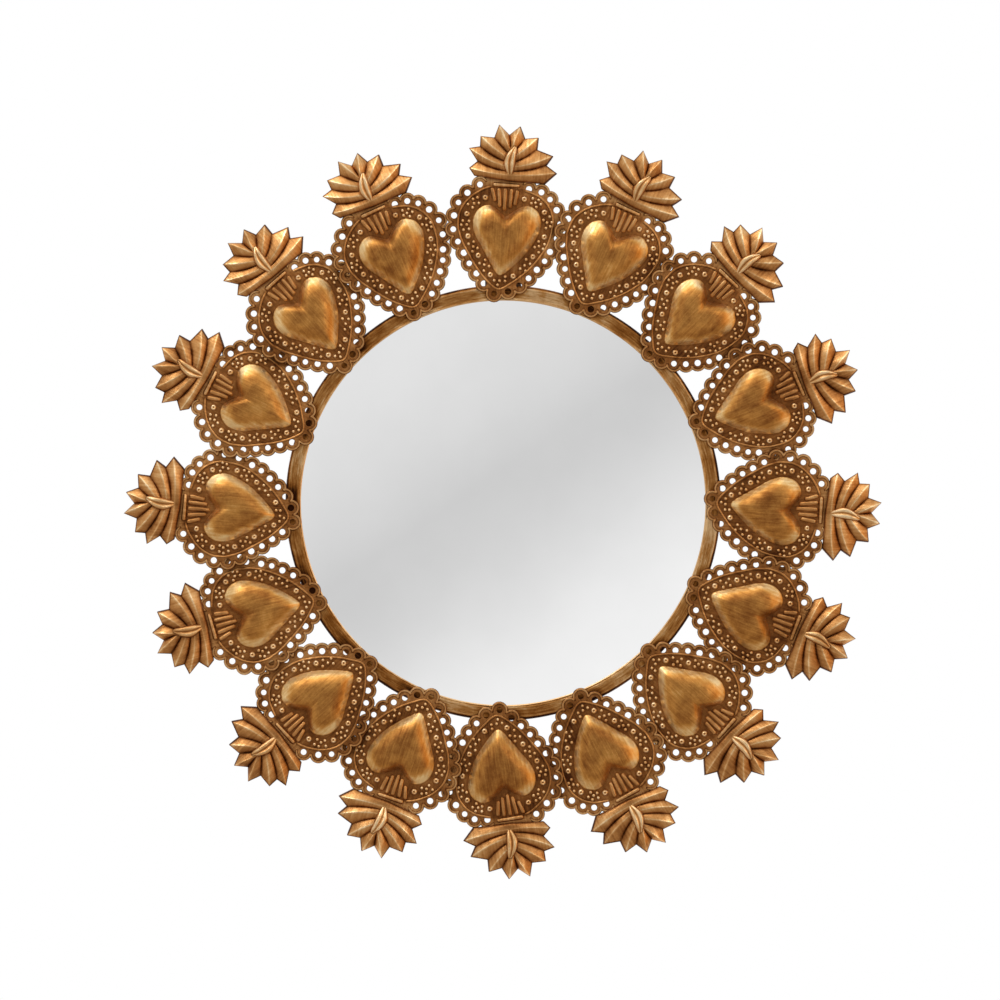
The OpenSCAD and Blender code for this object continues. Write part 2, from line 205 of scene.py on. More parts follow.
seed_shares = [
    (-0.5, 0.65), (-0.57, 0.62), (-0.47, 0.56), (-0.55, 0.55), (-0.65, 0.53),
    (-0.57, 0.48), (0.42, 0.69), (0.52, 0.67), (0.4, 0.61), (0.47, 0.62), (0.56, 0.6),
    (0.49, 0.55), (-0.72, 0.25), (-0.62, 0.25), (-0.74, 0.18), (-0.65, 0.19), (-0.7, 0.1),
    (-0.61, 0.12), (0.72, 0.4), (0.62, 0.34), (0.68, 0.3), (0.76, 0.31), (0.67, 0.21),
    (0.74, 0.24), (-0.52, -0.09), (-0.6, -0.13), (-0.52, -0.17), (-0.45, -0.19),
    (-0.53, -0.25), (0.56, -0.02), (0.66, -0.06), (0.57, -0.1), (0.5, -0.12),
    (0.64, -0.14), (0.57, -0.2), (-0.31, -0.38), (-0.4, -0.44), (-0.32, -0.46),
    (-0.24, -0.48), (-0.32, -0.56), (0.37, -0.33), (0.44, -0.4), (0.35, -0.43),
    (0.28, -0.49), (0.37, -0.52), (-0.05, -0.71), (0.04, -0.64), (0.04, -0.71),
    (-0.14, -0.71), (-0.08, -0.78)]


def at(share, z=0.0):
    return Vector((HALF * share[0], HALF * share[1], z))


def smooth_line(points, steps, closed=True):
    """Extra points between the given ones, on a curve that passes through them all."""
    n = len(points)
    out = []
    for i in range(n if closed else n - 1):
        a, b, c, d = (points[(i + k) % n] if closed else points[min(max(i + k, 0), n - 1)]
                      for k in (-1, 0, 1, 2))
        for s in range(steps):
            t = s / steps
            out.append(0.5 * ((2 * b) + (c - a) * t + (2 * a - 5 * b + 4 * c - d) * t * t
                              + (3 * b - a - 3 * c + d) * t ** 3))
    if not closed:
        out.append(points[-1])
    return out


heart_line = smooth_line([at(p) for p in heart_shares], 2)
print("points in the heart's outline:", len(heart_line))

# %% [markdown]
# ## The pierced plate
# The plate is a flat fretwork: a scalloped edge with one hole in each scallop, and an opening
# behind the hollow heart. A flat filled curve cuts such a shape cleanly, holes and all, and
# its bevel rounds every edge at once. The scalloped outline is a chain of arcs, each from the
# valley before its hole to the valley after it.

# %% The scalloped outline
SCALLOP = 5.7 * MM
FIRST_TURN, LAST_TURN = math.radians(55), math.radians(115)
centres = [at(p) for p in scallop_shares]


def valley(a, b):
    """Where two neighbouring scallops meet on the outer side."""
    middle, half = (a + b) / 2, (b - a).length / 2
    side = Vector((b.y - a.y, a.x - b.x, 0)).normalized()
    if side.dot(middle) < 0:
        side = -side
    return middle + side * math.sqrt(SCALLOP ** 2 - half ** 2)


def turn_of(v):
    return math.atan2(v.y, v.x)


valleys = [valley(centres[i], centres[i + 1]) for i in range(len(centres) - 1)]
arcs = []
for i, centre in enumerate(centres):
    start = FIRST_TURN if i == 0 else turn_of(valleys[i - 1] - centre)
    end = LAST_TURN if i == len(centres) - 1 else turn_of(valleys[i] - centre)
    while end < start:
        end += 2 * math.pi
    arcs.append((centre, start, end))


def arc_points(centre, radius, start, end, steps, z=0.0):
    return [centre + Vector((radius * math.cos(start + (end - start) * s / steps),
                             radius * math.sin(start + (end - start) * s / steps), z))
            for s in range(steps + 1)]


plate_line = []
for centre, start, end in arcs:
    plate_line += arc_points(centre, SCALLOP, start, end, 8)
plate_line += [at(p) for p in neck_top_shares]
print("points in the plate's outline:", len(plate_line))


# %% A flat curve with holes, made a mesh
def curve_object(name, lines, closed, flat):
    data = bpy.data.curves.new(name, "CURVE")
    data.dimensions = "2D" if flat else "3D"
    for line in lines:
        spline = data.splines.new("POLY")
        spline.points.add(len(line) - 1)
        for point, place in zip(spline.points, line):
            point.co = (*place, 1)
        spline.use_cyclic_u = closed
    piece = bpy.data.objects.new(name, data)
    bpy.context.scene.collection.objects.link(piece)
    work_on(piece)
    return piece


def fretwork(name, lines, thick, edge):
    piece = curve_object(name, lines, True, True)
    piece.data.fill_mode = "BOTH"
    piece.data.extrude = thick / 2 - edge
    piece.data.bevel_depth = edge
    piece.data.bevel_resolution = 1
    piece.data.offset = -edge
    bpy.ops.object.convert(target="MESH")
    piece = new_piece(name)
    piece.data.transform(Matrix.Translation((0, 0, thick / 2)))
    close_up(piece, 0.004 * MM)
    return piece


# %% The plate and the beaded field on it
def heart_hole(share):
    """The heart's outline, drawn in towards its middle."""
    return [at(HEART_MID) + share * (p - at(HEART_MID)) for p in heart_line]


# The holes were punched by hand, so each is a little wider or narrower than the last.
HOLE, HOLE_CHANGE, HOLE_STEP = 1.95 * MM, 0.15 * MM, 2.4
hole_lines = [arc_points(c, HOLE + HOLE_CHANGE * math.sin(i * HOLE_STEP), 0, 2 * math.pi, 16)[:-1]
              for i, c in enumerate(centres)]
plate = fretwork("plate", [plate_line] + hole_lines + [heart_hole(0.9)], WEB, 0.28 * MM)
# Painted shade on the side walls, which are darkest, for dark outlines round the holes and the
# edge; painted light just under the flame, which lifts the shadow that it casts there.
set_wear_and_light(plate, lambda p: (0.35 if p.z > WEB * 0.95 else 0.0)
         + 0.22 * eased(p.y / HALF, 0.85, 0.95))
GROUND_RISE = 0.08 * MM
ground_line = smooth_line([at(p) for p in wire_shares], 2)
ground = fretwork("ground", [ground_line, heart_hole(0.93)], WEB, 0.05 * MM)
ground.data.transform(Matrix.Translation((0, 0, GROUND_RISE)))
set_wear_and_light(ground, lambda p: 0.23)
print("plate and ground faces:", len(plate.data.polygons), len(ground.data.polygons))

# %% [markdown]
# ## Ropes and wire
# A rope of metal follows each scallop and dives under its neighbour at both ends, and a
# finer wire frames the beaded field. A line with a round section gives both. Their sections
# have few sides, because each is drawn many times round the wreath.


# %% Round lines laid on the plate
def round_line(name, lines, radius, fineness, closed=False):
    piece = curve_object(name, lines, closed, False)
    piece.data.bevel_depth = radius
    piece.data.bevel_resolution = fineness
    piece.data.use_fill_caps = not closed
    bpy.ops.object.convert(target="MESH")
    piece = new_piece(name)
    close_up(piece)
    return piece


ROPE, ROPE_Z, ROPE_END_Z, ROPE_OVERLAP = 0.9 * MM, 1.0 * MM, 0.5 * MM, 0.5
rope_lines = []
for centre, start, end in arcs:
    line = arc_points(centre, SCALLOP - ROPE, start - ROPE_OVERLAP, end + ROPE_OVERLAP, 12,
                      ROPE_Z)
    line[0].z = line[-1].z = ROPE_END_Z
    rope_lines.append(line)
ropes = round_line("ropes", rope_lines, ROPE, 1)
# Rubbed bright and painted with a narrow highlight along the crest, with painted shade on the
# sides for a dark outline.
set_wear_and_light(ropes, lambda p: -0.05 + 0.8 * eased(p.z, 1.2 * MM, 1.95 * MM))

WIRE, WIRE_Z = 0.85 * MM, 1.2 * MM
wire_points = [at(p) - WIRE * at(p).normalized() for p in wire_shares]
wire_line = [p + Vector((0, 0, WIRE_Z)) for p in smooth_line(wire_points, 3, False)]
wire = round_line("wire", [wire_line], WIRE, 2)
set_wear_and_light(wire, lambda p: 0.1 + 0.38 * eased(p.z, 1.2 * MM, 2.0 * MM))
print("rope and wire faces:", len(ropes.data.polygons), len(wire.data.polygons))

# %% [markdown]
# ## Beads, seeds and rays
# The beads are struck with a punch that leaves a small dimple, the seeds are plain drops, and
# five rays fan out over the heart under a short bar. Each starts as a ball that is sunk in
# the plate. The bead's pole is pushed in, and a ray is a ball whose halves are pulled apart.


# %% Drops of metal
def ball(name, place, radius, around, up):
    nothing_picked()
    bpy.ops.mesh.primitive_uv_sphere_add(segments=around, ring_count=up, radius=radius,
                                         location=place)
    bpy.ops.object.transform_apply(location=True, rotation=False, scale=False)
    return new_piece(name)


def cut_below(piece, z):
    edit(piece)
    bpy.ops.mesh.bisect(plane_co=(0, 0, z), plane_no=(0, 0, 1), clear_inner=True,
                        use_fill=True)
    leave_edit()


def copies(piece, places):
    made = []
    for place in places:
        twin = piece.copy()
        twin.data = piece.data.copy()
        twin.data.transform(Matrix.Translation(place))
        bpy.context.scene.collection.objects.link(twin)
        made.append(twin)
    bpy.data.objects.remove(piece)
    return made


# %% Beads and seeds
FOOT = WEB * 0.6
BEAD, DIMPLE, DIMPLE_DEEP = 2.2 * MM, 0.6 * MM, 0.4 * MM
bead_z = 1.3 * MM - 0.22 * BEAD
bead = ball("bead", (0, 0, bead_z), BEAD, 16, 14)
cut_below(bead, FOOT)
pick(bead, lambda p: p.z > bead_z + BEAD * 0.93)
bpy.ops.transform.translate(value=(0, 0, -DIMPLE_DEEP))
leave_edit()
set_wear_and_light(bead, lambda p: 0.3 if math.hypot(p.x, p.y) < DIMPLE
         else 0.3 + 0.64 * eased(p.z, 0.9 * MM, 1.9 * MM))
beads = joined(copies(bead, [at(s) for s in bead_shares]), "beads")

SEED, SEED_Z = 1.35 * MM, 1.0 * MM
seed = ball("seed", (0, 0, SEED_Z), SEED, 8, 6)
cut_below(seed, FOOT)
set_wear_and_light(seed, lambda p: 0.84 * eased(p.z, 1.0 * MM, 2.1 * MM))
seeds = joined(copies(seed, [at(s) for s in seed_shares]), "seeds")
print("bead and seed faces:", len(beads.data.polygons), len(seeds.data.polygons))


# %% Rays and their bar
def bar(name, start, end, radius, z):
    """A ball whose halves are pulled apart, laid from one place to the other."""
    piece = ball(name, (0, 0, 0), radius, 10, 8)
    pick(piece, lambda p: p.x > 0.01 * MM)
    bpy.ops.transform.translate(value=((end - start).length, 0, 0))
    leave_edit()
    piece.data.transform(Matrix.Translation((start.x, start.y, z))
                         @ Matrix.Rotation(turn_of(end - start), 4, "Z"))
    cut_below(piece, FOOT)
    return piece


RAY, RAY_Z, NECK, NECK_Z = 1.75 * MM, 0.8 * MM, 1.7 * MM, 1.1 * MM
ray_shares = [(-0.26, 0.8, -0.21, 0.64), (-0.15, 0.8, -0.12, 0.55), (-0.04, 0.8, -0.04, 0.5),
              (0.06, 0.8, 0.05, 0.54), (0.16, 0.78, 0.13, 0.59)]
neck_shares = (-0.22, 0.885, 0.16, 0.885)
bars = [bar("ray", at(r[:2]), at(r[2:]), RAY, RAY_Z) for r in ray_shares]
bars.append(bar("neck_bar", at(neck_shares[:2]), at(neck_shares[2:]), NECK, NECK_Z))
rays = joined(bars, "rays")
# The bars' sides are kept fairly light: painted light that lifts the shade falling between the
# rays.
set_wear_and_light(rays, lambda p: 0.36 + 0.15 * eased(p.z, 0.9 * MM, 2.1 * MM)
         + 0.16 * eased(p.z, 2.4 * MM, 2.7 * MM))
print("ray faces:", len(rays.data.polygons))

# %% [markdown]
# ## The puffed heart
# The heart is hollow: a thin dome beaten up from the plate. Its outline is drawn with a ring
# of points, which is pulled up and drawn in towards the middle again and again, then closed.
# A wall thickness turns the skin into metal, and rounding takes the facets out.

# %% The heart's dome
HEART_TOP, HEART_FOOT, HEART_WALL = 9.0 * MM, WEB * 0.7, 1.2 * MM
# Each level's width and height, as shares of the heart's.
heart_levels = [(1.05, 0.0), (1.045, 0.06), (1.025, 0.1), (1.0, 0.15), (0.95, 0.285),
                (0.9, 0.405), (0.85, 0.515), (0.79, 0.625), (0.7, 0.76), (0.6, 0.86),
                (0.48, 0.93), (0.33, 0.975), (0.16, 1.0)]
nothing_picked()
bpy.ops.mesh.primitive_circle_add(vertices=len(heart_line), radius=HALF, fill_type="NOTHING")
heart = new_piece("heart")
mid = at(HEART_MID)
for v, p in zip(heart.data.vertices, heart_line):
    v.co = mid + heart_levels[0][0] * (p - mid) + Vector((0, 0, HEART_FOOT))
edit(heart, "EDGE")
for (wide, tall), (wider, lower) in zip(heart_levels[1:], heart_levels[:-1]):
    rise = (tall - lower) * (HEART_TOP - HEART_FOOT)
    bpy.ops.mesh.extrude_edges_move(TRANSFORM_OT_translate={"value": (0, 0, rise)})
    bpy.ops.transform.resize(value=(wide / wider, wide / wider, 1),
                             center_override=tuple(mid))
bpy.ops.mesh.edge_face_add()
bpy.ops.mesh.poke()
leave_edit()
close_up(heart)
wall = heart.modifiers.new("Wall", "SOLIDIFY")
wall.thickness = HEART_WALL
wall.offset = -1
keep_modifiers(heart)
rounder(heart, 1)
print("size of the dome in mm:", [round(d / MM, 1) for d in heart.dimensions])


# %% The heart's wear, painted light and gold
def heart_wear_and_light(p):
    """Rubbed bright with a painted highlight round its shoulders, a little darker at its foot,
    where a fainter painted highlight runs, and with painted shade on its crown.
    """
    if p.z < 1.6 * MM:
        return 0.78
    return 0.92 - 0.47 * eased(p.z, 3.4 * MM, 7.6 * MM)


set_wear_and_light(heart, heart_wear_and_light)
set_layer(heart, "gold", [1.0] * len(heart.data.vertices))
print("heart faces:", len(heart.data.polygons))

# %% [markdown]
# ## The folded flame
# Eight leaves are folded along their ridges and spring from a stem behind the curl. One grid
# carries them all: its columns run up the grooves, facets and ridges in turn, and its rows run
# from the stem to the tips. The rim is then pulled down to the plate and closed behind.
# Creases keep the folds sharp while the rest is rounded.

# %% The flame's grid
tip_shares = [(-0.66, 1.13), (-0.68, 1.46), (-0.5, 1.67), (-0.2, 1.88), (0.15, 1.87),
              (0.46, 1.7), (0.72, 1.41), (0.8, 1.13)]
notch_shares = [(-0.57, 1.01), (-0.53, 1.25), (-0.5, 1.5), (-0.27, 1.66), (-0.02, 1.72),
                (0.24, 1.67), (0.45, 1.5), (0.62, 1.25), (0.61, 0.94)]
stem_shares = [0.95, 1.05, 1.11, 1.18, 1.25, 1.31, 1.38, 1.45, 1.51]
sag_mm = [0, 0.8, 1.3, 1.7, 1.5, 1.0, 0.5, 0, 0]
reach_rows = [0, 0.15, 0.32, 0.5, 0.68, 0.84, 0.96, 1]
ridge_mm = [5.2, 5.9, 6.4, 6.4, 5.9, 4.8, 3.4, 2.5]
groove_mm = [5.0, 4.5, 4.2, 3.9, 3.5, 3.0, 2.4, 2.0]
edge_mm = [3.6, 3.6, 3.6, 3.4, 3.1, 2.7, 2.3, 2.1]
STEM_X = 0.01
# Across half a leaf: how far from groove to ridge, how high, and how worn and lit: the ridge
# carries a painted highlight.
leaf_folds = [(0, 0, 0.2), (0.13, 0.42, 0.46), (0.45, 0.7, 0.56), (0.84, 0.92, 0.64),
              (1, 1, 0.95)]
STEPS_UP = len(leaf_folds) - 1
HALVES = 2 * len(tip_shares)
LAST = STEPS_UP * HALVES
# Painted shade: the leaves' outer sides and their tips are darkened for the dark edges of the
# side walls.
SIDE_PAINTED_SHADE, TIP_PAINTED_SHADE, STEM_ROWS = 0.25, -0.15, 3


def across_leaf(column):
    """Which half leaf a column is in, and its way, height, and wear with painted light,
    from groove to ridge.
    """
    half = min(column // STEPS_UP, HALVES - 1)
    step = column - STEPS_UP * half
    return half, *leaf_folds[step if half % 2 == 0 else STEPS_UP - step]


def flame_point(column, row):
    """Where a grid point goes, and its number for wear and painted light."""
    half, way, tall, worn_and_lit = across_leaf(column)
    tip, notch = Vector(tip_shares[half // 2]), Vector(notch_shares[(half + 1) // 2])
    place = half + (way if half % 2 == 0 else 1 - way)
    place = min(place, HALVES - place)
    k = min(int(place), len(stem_shares) - 2)
    t = place - k
    stem = stem_shares[k] * (1 - t) + stem_shares[k + 1] * t
    sag = sag_mm[k] * (1 - t) + sag_mm[k + 1] * t
    r = reach_rows[row]
    flat = Vector((STEM_X, stem)) * (1 - r) + (notch * (1 - way) + tip * way) * r
    high = groove_mm[row] + tall * (ridge_mm[row] - groove_mm[row])
    if column in (0, LAST):
        high, worn_and_lit = edge_mm[row], SIDE_PAINTED_SHADE
    worn_and_lit *= 0.7 + 0.3 * min(row, STEM_ROWS) / STEM_ROWS
    if row == TOP_ROW:
        worn_and_lit = TIP_PAINTED_SHADE
    return Vector((HALF * flat.x, HALF * flat.y - sag * MM * 4 * r * (1 - r), high * MM)), worn_and_lit


TOP_ROW = len(reach_rows) - 1
LEAN_BACK = Vector((-0.4, 0.15, 0)) * MM
nothing_picked()
bpy.ops.mesh.primitive_grid_add(x_subdivisions=LAST, y_subdivisions=TOP_ROW, size=1)
flame = new_piece("flame")
spots, worn_and_lit_here = [], []
for v in flame.data.vertices:
    spots.append((round((v.co.x + 0.5) * LAST), round((v.co.y + 0.5) * TOP_ROW)))
    v.co, worn_and_lit = flame_point(*spots[-1])
    v.co += LEAN_BACK
    worn_and_lit_here.append(worn_and_lit)
set_layer(flame, "wear_and_light", worn_and_lit_here)
print("flame grid:", LAST + 1, "columns,", TOP_ROW + 1, "rows")

# %% Creases along its folds and at its tips
FOLD_CREASE = 0.95
folds = flame.data.attributes.new("crease_edge", "FLOAT", "EDGE")
for e in flame.data.edges:
    (c1, r1), (c2, r2) = (spots[i] for i in e.vertices)
    if r1 == r2 == TOP_ROW or c1 == c2 in (0, LAST):
        folds.data[e.index].value = 1
    elif c1 == c2 and c1 % STEPS_UP == 0:
        folds.data[e.index].value = FOLD_CREASE
set_layer(flame, "crease_vert",
          [1.0 if r == TOP_ROW and c % STEPS_UP == 0 else 0.0 for c, r in spots])
print("creased edges:", sum(d.value > 0 for d in folds.data))


# %% The flame's sides and back
def open_rim(piece):
    """Selects the edges that belong to one face only."""
    edit(piece, "EDGE", "DESELECT")
    bpy.ops.mesh.select_non_manifold(extend=False, use_wire=False, use_boundary=True,
                                     use_multi_face=False, use_non_contiguous=False,
                                     use_verts=False)


def closed_behind(piece):
    """Fills the open rim with one face."""
    open_rim(piece)
    bpy.ops.mesh.edge_face_add()
    leave_edit()
    close_up(piece)


FLAME_BACK, FAR_DOWN = 0.35 * MM, 20 * MM
BACK_SHIFT = Vector((0.6, -0.35, 0)) * MM
edit(flame)
bpy.ops.mesh.remove_doubles(threshold=0.02 * MM)
leave_edit()
rounder(flame, 1)
open_rim(flame)
bpy.ops.mesh.extrude_edges_move(TRANSFORM_OT_translate={"value": (0, 0, -FAR_DOWN)})
leave_edit()
for v in flame.data.vertices:
    if v.co.z < -1 * MM:
        v.co += BACK_SHIFT
        v.co.z = FLAME_BACK
closed_behind(flame)
print("flame faces:", len(flame.data.polygons))

# %% [markdown]
# ## The curl
# In front of the leaves stands one upright leaf with a groove down its middle, leaning over
# at its top. Nine columns are enough: the sides, the two lips and the groove between them.

# %% The curl's grid
curl_rows = [  # y share, middle share, half width mm, lip height mm, groove depth mm
    (1.015, 0.012, 0.8, 4.6, 0.1), (1.09, 0.01, 2.4, 6.2, 0.5), (1.17, -0.005, 3.6, 7.6, 1.0),
    (1.25, -0.01, 4.1, 8.6, 1.5), (1.33, 0.0, 4.0, 9.2, 1.6), (1.41, 0.02, 3.2, 9.2, 1.1),
    (1.48, 0.05, 2.5, 8.3, 0.4), (1.53, 0.075, 1.2, 6.8, 0.1)]
curl_columns = [  # share of the half width, rise over the lip mm, share of the groove, wear
    (-1.12, -20, 0, 0.1), (-1.0, -1.6, 0, 0.5), (-0.76, -0.3, 0, 0.82), (-0.36, 0, 0, 0.86),
    (0, 0, 1, 0.28), (0.3, 0, 0, 0.86), (0.72, -0.3, 0, 0.82), (1.0, -1.6, 0, 0.5),
    (1.12, -20, 0, 0.1)]
CURL_FOOT = 2.4  # mm, where its sides end behind the leaves
COLUMNS, ROWS = len(curl_columns) - 1, len(curl_rows) - 1
nothing_picked()
bpy.ops.mesh.primitive_grid_add(x_subdivisions=COLUMNS, y_subdivisions=ROWS, size=1)
curl = new_piece("curl")
worn_and_lit_here = []
for v in curl.data.vertices:
    share, rise, groove, worn_and_lit = curl_columns[round((v.co.x + 0.5) * COLUMNS)]
    y, middle, half, lip, deep = curl_rows[round((v.co.y + 0.5) * ROWS)]
    worn_and_lit_here.append(worn_and_lit)
    high = max(lip + rise - groove * deep, CURL_FOOT)
    v.co = (HALF * middle + share * half * MM, HALF * y, high * MM)
set_layer(curl, "wear_and_light", worn_and_lit_here)
rounder(curl, 1)
closed_behind(curl)
print("curl faces:", len(curl.data.polygons))

# %% [markdown]
# ## One casting, sixteen places
# The parts are joined to one casting. Its flat map keeps the badge's own directions, so the
# brush marks on each heart run along that badge and not along the wall. A round lug behind
# the tip carries it on the ring. Nobody polishes the back, so it is dark all over. The casting
# is then copied sixteen times: each hand-fitted badge has its own shift, lean and reach.

# %% Join and map the casting
casting = joined([plate, ground, ropes, wire, beads, seeds, rays, heart, flame, curl], "casting")
CHART = 10  # one unit of the flat map is a tenth of a metre
chart = new_chart(casting)
for loop in casting.data.loops:
    p = casting.data.vertices[loop.vertex_index].co
    chart.data[loop.index].uv = (p.x * CHART, p.y * CHART)
FACING_BACK, BACK_WEAR = -0.3, 0.14
wear_and_light, gold = (casting.data.attributes[name].data for name in ("wear_and_light", "gold"))
for v in casting.data.vertices:
    if v.normal.z < FACING_BACK:
        wear_and_light[v.index].value = BACK_WEAR
        gold[v.index].value = 0
print("casting triangles:", sum(len(f.vertices) - 2 for f in casting.data.polygons))

# %% Turn it to the wall and add its lug
UPRIGHT, SHINGLE = math.radians(90), math.radians(2.4)
SEAT, LUG, LUG_LONG = 0.8 * MM, 2.3 * MM, 1.25 * MM
lug_share = (-0.02, -0.905)
casting.data.transform(Matrix.Translation((0, -SEAT, 0))
                       @ Matrix.Rotation(SHINGLE, 4, "Z") @ Matrix.Rotation(UPRIGHT, 4, "X"))
nothing_picked()
bpy.ops.mesh.primitive_cylinder_add(
    vertices=24, radius=LUG, depth=LUG_LONG, rotation=(UPRIGHT, 0, 0),
    location=(HALF * lug_share[0], -LUG_LONG / 2, HALF * lug_share[1]))
bpy.ops.object.transform_apply(location=True, rotation=True, scale=False)
lug = new_piece("lug")
set_wear_and_light(lug, lambda p: 0.3)
new_chart(lug)
casting = joined([casting, lug], "casting")
work_on(casting)
bpy.ops.object.shade_smooth_by_angle(angle=math.radians(38))
print("height over the ring in mm:", round(-min(v.co.y for v in casting.data.vertices) / MM, 2))

# %% Sixteen badges round the ring
WREATH, RING_DEEP, SPACING = 176 * MM, 9.2 * MM, 22.5
shift_deg = [0.4, 0.6, 0.9, 1.2, 1.4, 1.5, 1.4, 0.9, 0.6, -0.8, -2, -1.7, -1.5, -0.7, -1, -1]
lean_deg = [3, 1.5, -2.5, -2, 1.5, -3.5, -5, -7, -9.5, -3, 4.5, 8.5, 6, 4.5, 4, -1.5]
reach_shares = [1, 1.004, 1.002, 1.005, 1.001, 1.002, 1, 1.002, 0.997, 0.994, 0.998, 0.995,
                1.004, 0.995, 1.001, 1.006]
castings = []
for k in range(16):
    name = f"badge_{k + 1:02d}"
    twin = casting.copy()
    twin.data = casting.data.copy()
    twin.name = twin.data.name = name + "_casting"
    twin.data.transform(
        Matrix.Rotation(math.radians(SPACING * k + shift_deg[k]), 4, "Y")
        @ Matrix.Translation((0, -RING_DEEP, WREATH * reach_shares[k]))
        @ Matrix.Rotation(math.radians(lean_deg[k]), 4, "Y"))
    bpy.context.scene.collection.objects.link(twin)
    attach(twin, "mirror")
    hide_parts(name)
    castings.append(twin)
bpy.data.objects.remove(casting)
print("badges:", len(castings))

# %% [markdown]
# ## The ring
# The ring is spun sheet metal: a flat face, an outer edge rolled over a bar, and a fine bead
# turned along the edge of the glass. Its section is drawn once with a ring of points and spun
# round the mirror's axis, which is how the real one was formed.

# %% The ring's section, spun
ROLL_MID, ROLL_LEVEL, ROLL = 142.6, 6.9, 2.3
section_mm = [(144.6, 0.05), (144.6, 3.5), (144.7, 5.5), (144.9, ROLL_LEVEL)]
section_mm += [(ROLL_MID + ROLL * math.cos(math.radians(a)),
                ROLL_LEVEL + ROLL * math.sin(math.radians(a)))
               for a in (12, 24, 36, 48, 60, 72, 84)]
section_mm += [(142.0, 9.2), (141.4, 9.2), (140.4, 9.2), (139, 9.2), (137.8, 9.2), (136.8, 9.2),
               (136.4, 9.18), (136.2, 9.04), (136.0, 9.02), (135.8, 9.12), (135.5, 9.2),
               (135.1, 9.14), (134.8, 8.9), (134.62, 8.5), (134.62, 8.05), (139, 8.02),
               (143.4, 8.02), (143.4, 4), (143.4, 0.05)]
STEPS_ROUND = 240
nothing_picked()
bpy.ops.mesh.primitive_circle_add(vertices=len(section_mm), radius=1, fill_type="NOTHING")
ring = new_piece("ring_band")
for v, (r, deep) in zip(ring.data.vertices, section_mm):
    v.co = (0, -deep * MM, r * MM)
edit(ring, "EDGE")
bpy.ops.mesh.spin(steps=STEPS_ROUND, angle=2 * math.pi, center=(0, 0, 0), axis=(0, 1, 0))
leave_edit()
close_up(ring)
print("ring faces:", len(ring.data.polygons))


# %% The ring's wear, painted light and its map
def ring_wear_and_light(p):
    """Painted highlight at the glass, painted shade on its side and where a badge's tip
    covers it; radii in mm.
    """
    r = math.hypot(p.x, p.z) / MM
    # Painted shade on the ring's outer side.
    if -p.y < 8.9 * MM and r > 143:
        return 0.12
    # Painted shade where a badge's tip lies over the ring.
    turn = math.degrees(math.atan2(p.x, p.z)) % SPACING
    under = eased(min(turn, SPACING - turn), 5.6, 3.4)
    # Painted highlight along the bead at the glass.
    if r < 135.3:
        return 1.15
    # Painted highlight on a line along the roll, and painted light from the right: the ring is
    # lighter on its right side.
    line = eased(r, 142.0, 142.5) * 0.15 + 0.12 * p.x / (r * MM)
    # Painted shade on the outer edge and under the badges' tips.
    return (0.72 - 0.1 * eased(r, 136.4, 140.4) + line - 0.7 * eased(r, 143.0, 144.0)
            - 0.42 * under * eased(r, 136.5, 138.5))


set_wear_and_light(ring, ring_wear_and_light)
MAP_R = 140 * MM
chart = new_chart(ring)
for face in ring.data.polygons:
    base = math.atan2(face.center.x, face.center.z)
    for i in face.loop_indices:
        p = ring.data.vertices[ring.data.loops[i].vertex_index].co
        a = math.atan2(p.x, p.z)
        a += 2 * math.pi * round((base - a) / (2 * math.pi))
        chart.data[i].uv = (a * MAP_R * CHART, (math.hypot(p.x, p.z) - p.y) * CHART)
work_on(ring)
bpy.ops.object.shade_smooth_by_angle(angle=math.radians(40))
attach(ring, "mirror")
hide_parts("ring_frame")
print("ring riding on mirror, round to", round(max(v.co.x for v in ring.data.vertices) / MM, 1))

# %% [markdown]
# ## Finishes
# Each finish is a small network of nodes. Colours are written as they look on a screen, from
# 0 to 255, and are turned into the linear values that the shader wants.


# %% Helpers for finishes
def tone(red, green, blue):
    return tuple(((c / 255 + 0.055) / 1.055) ** 2.4 if c > 10 else c / 255 / 12.92
                 for c in (red, green, blue)) + (1,)


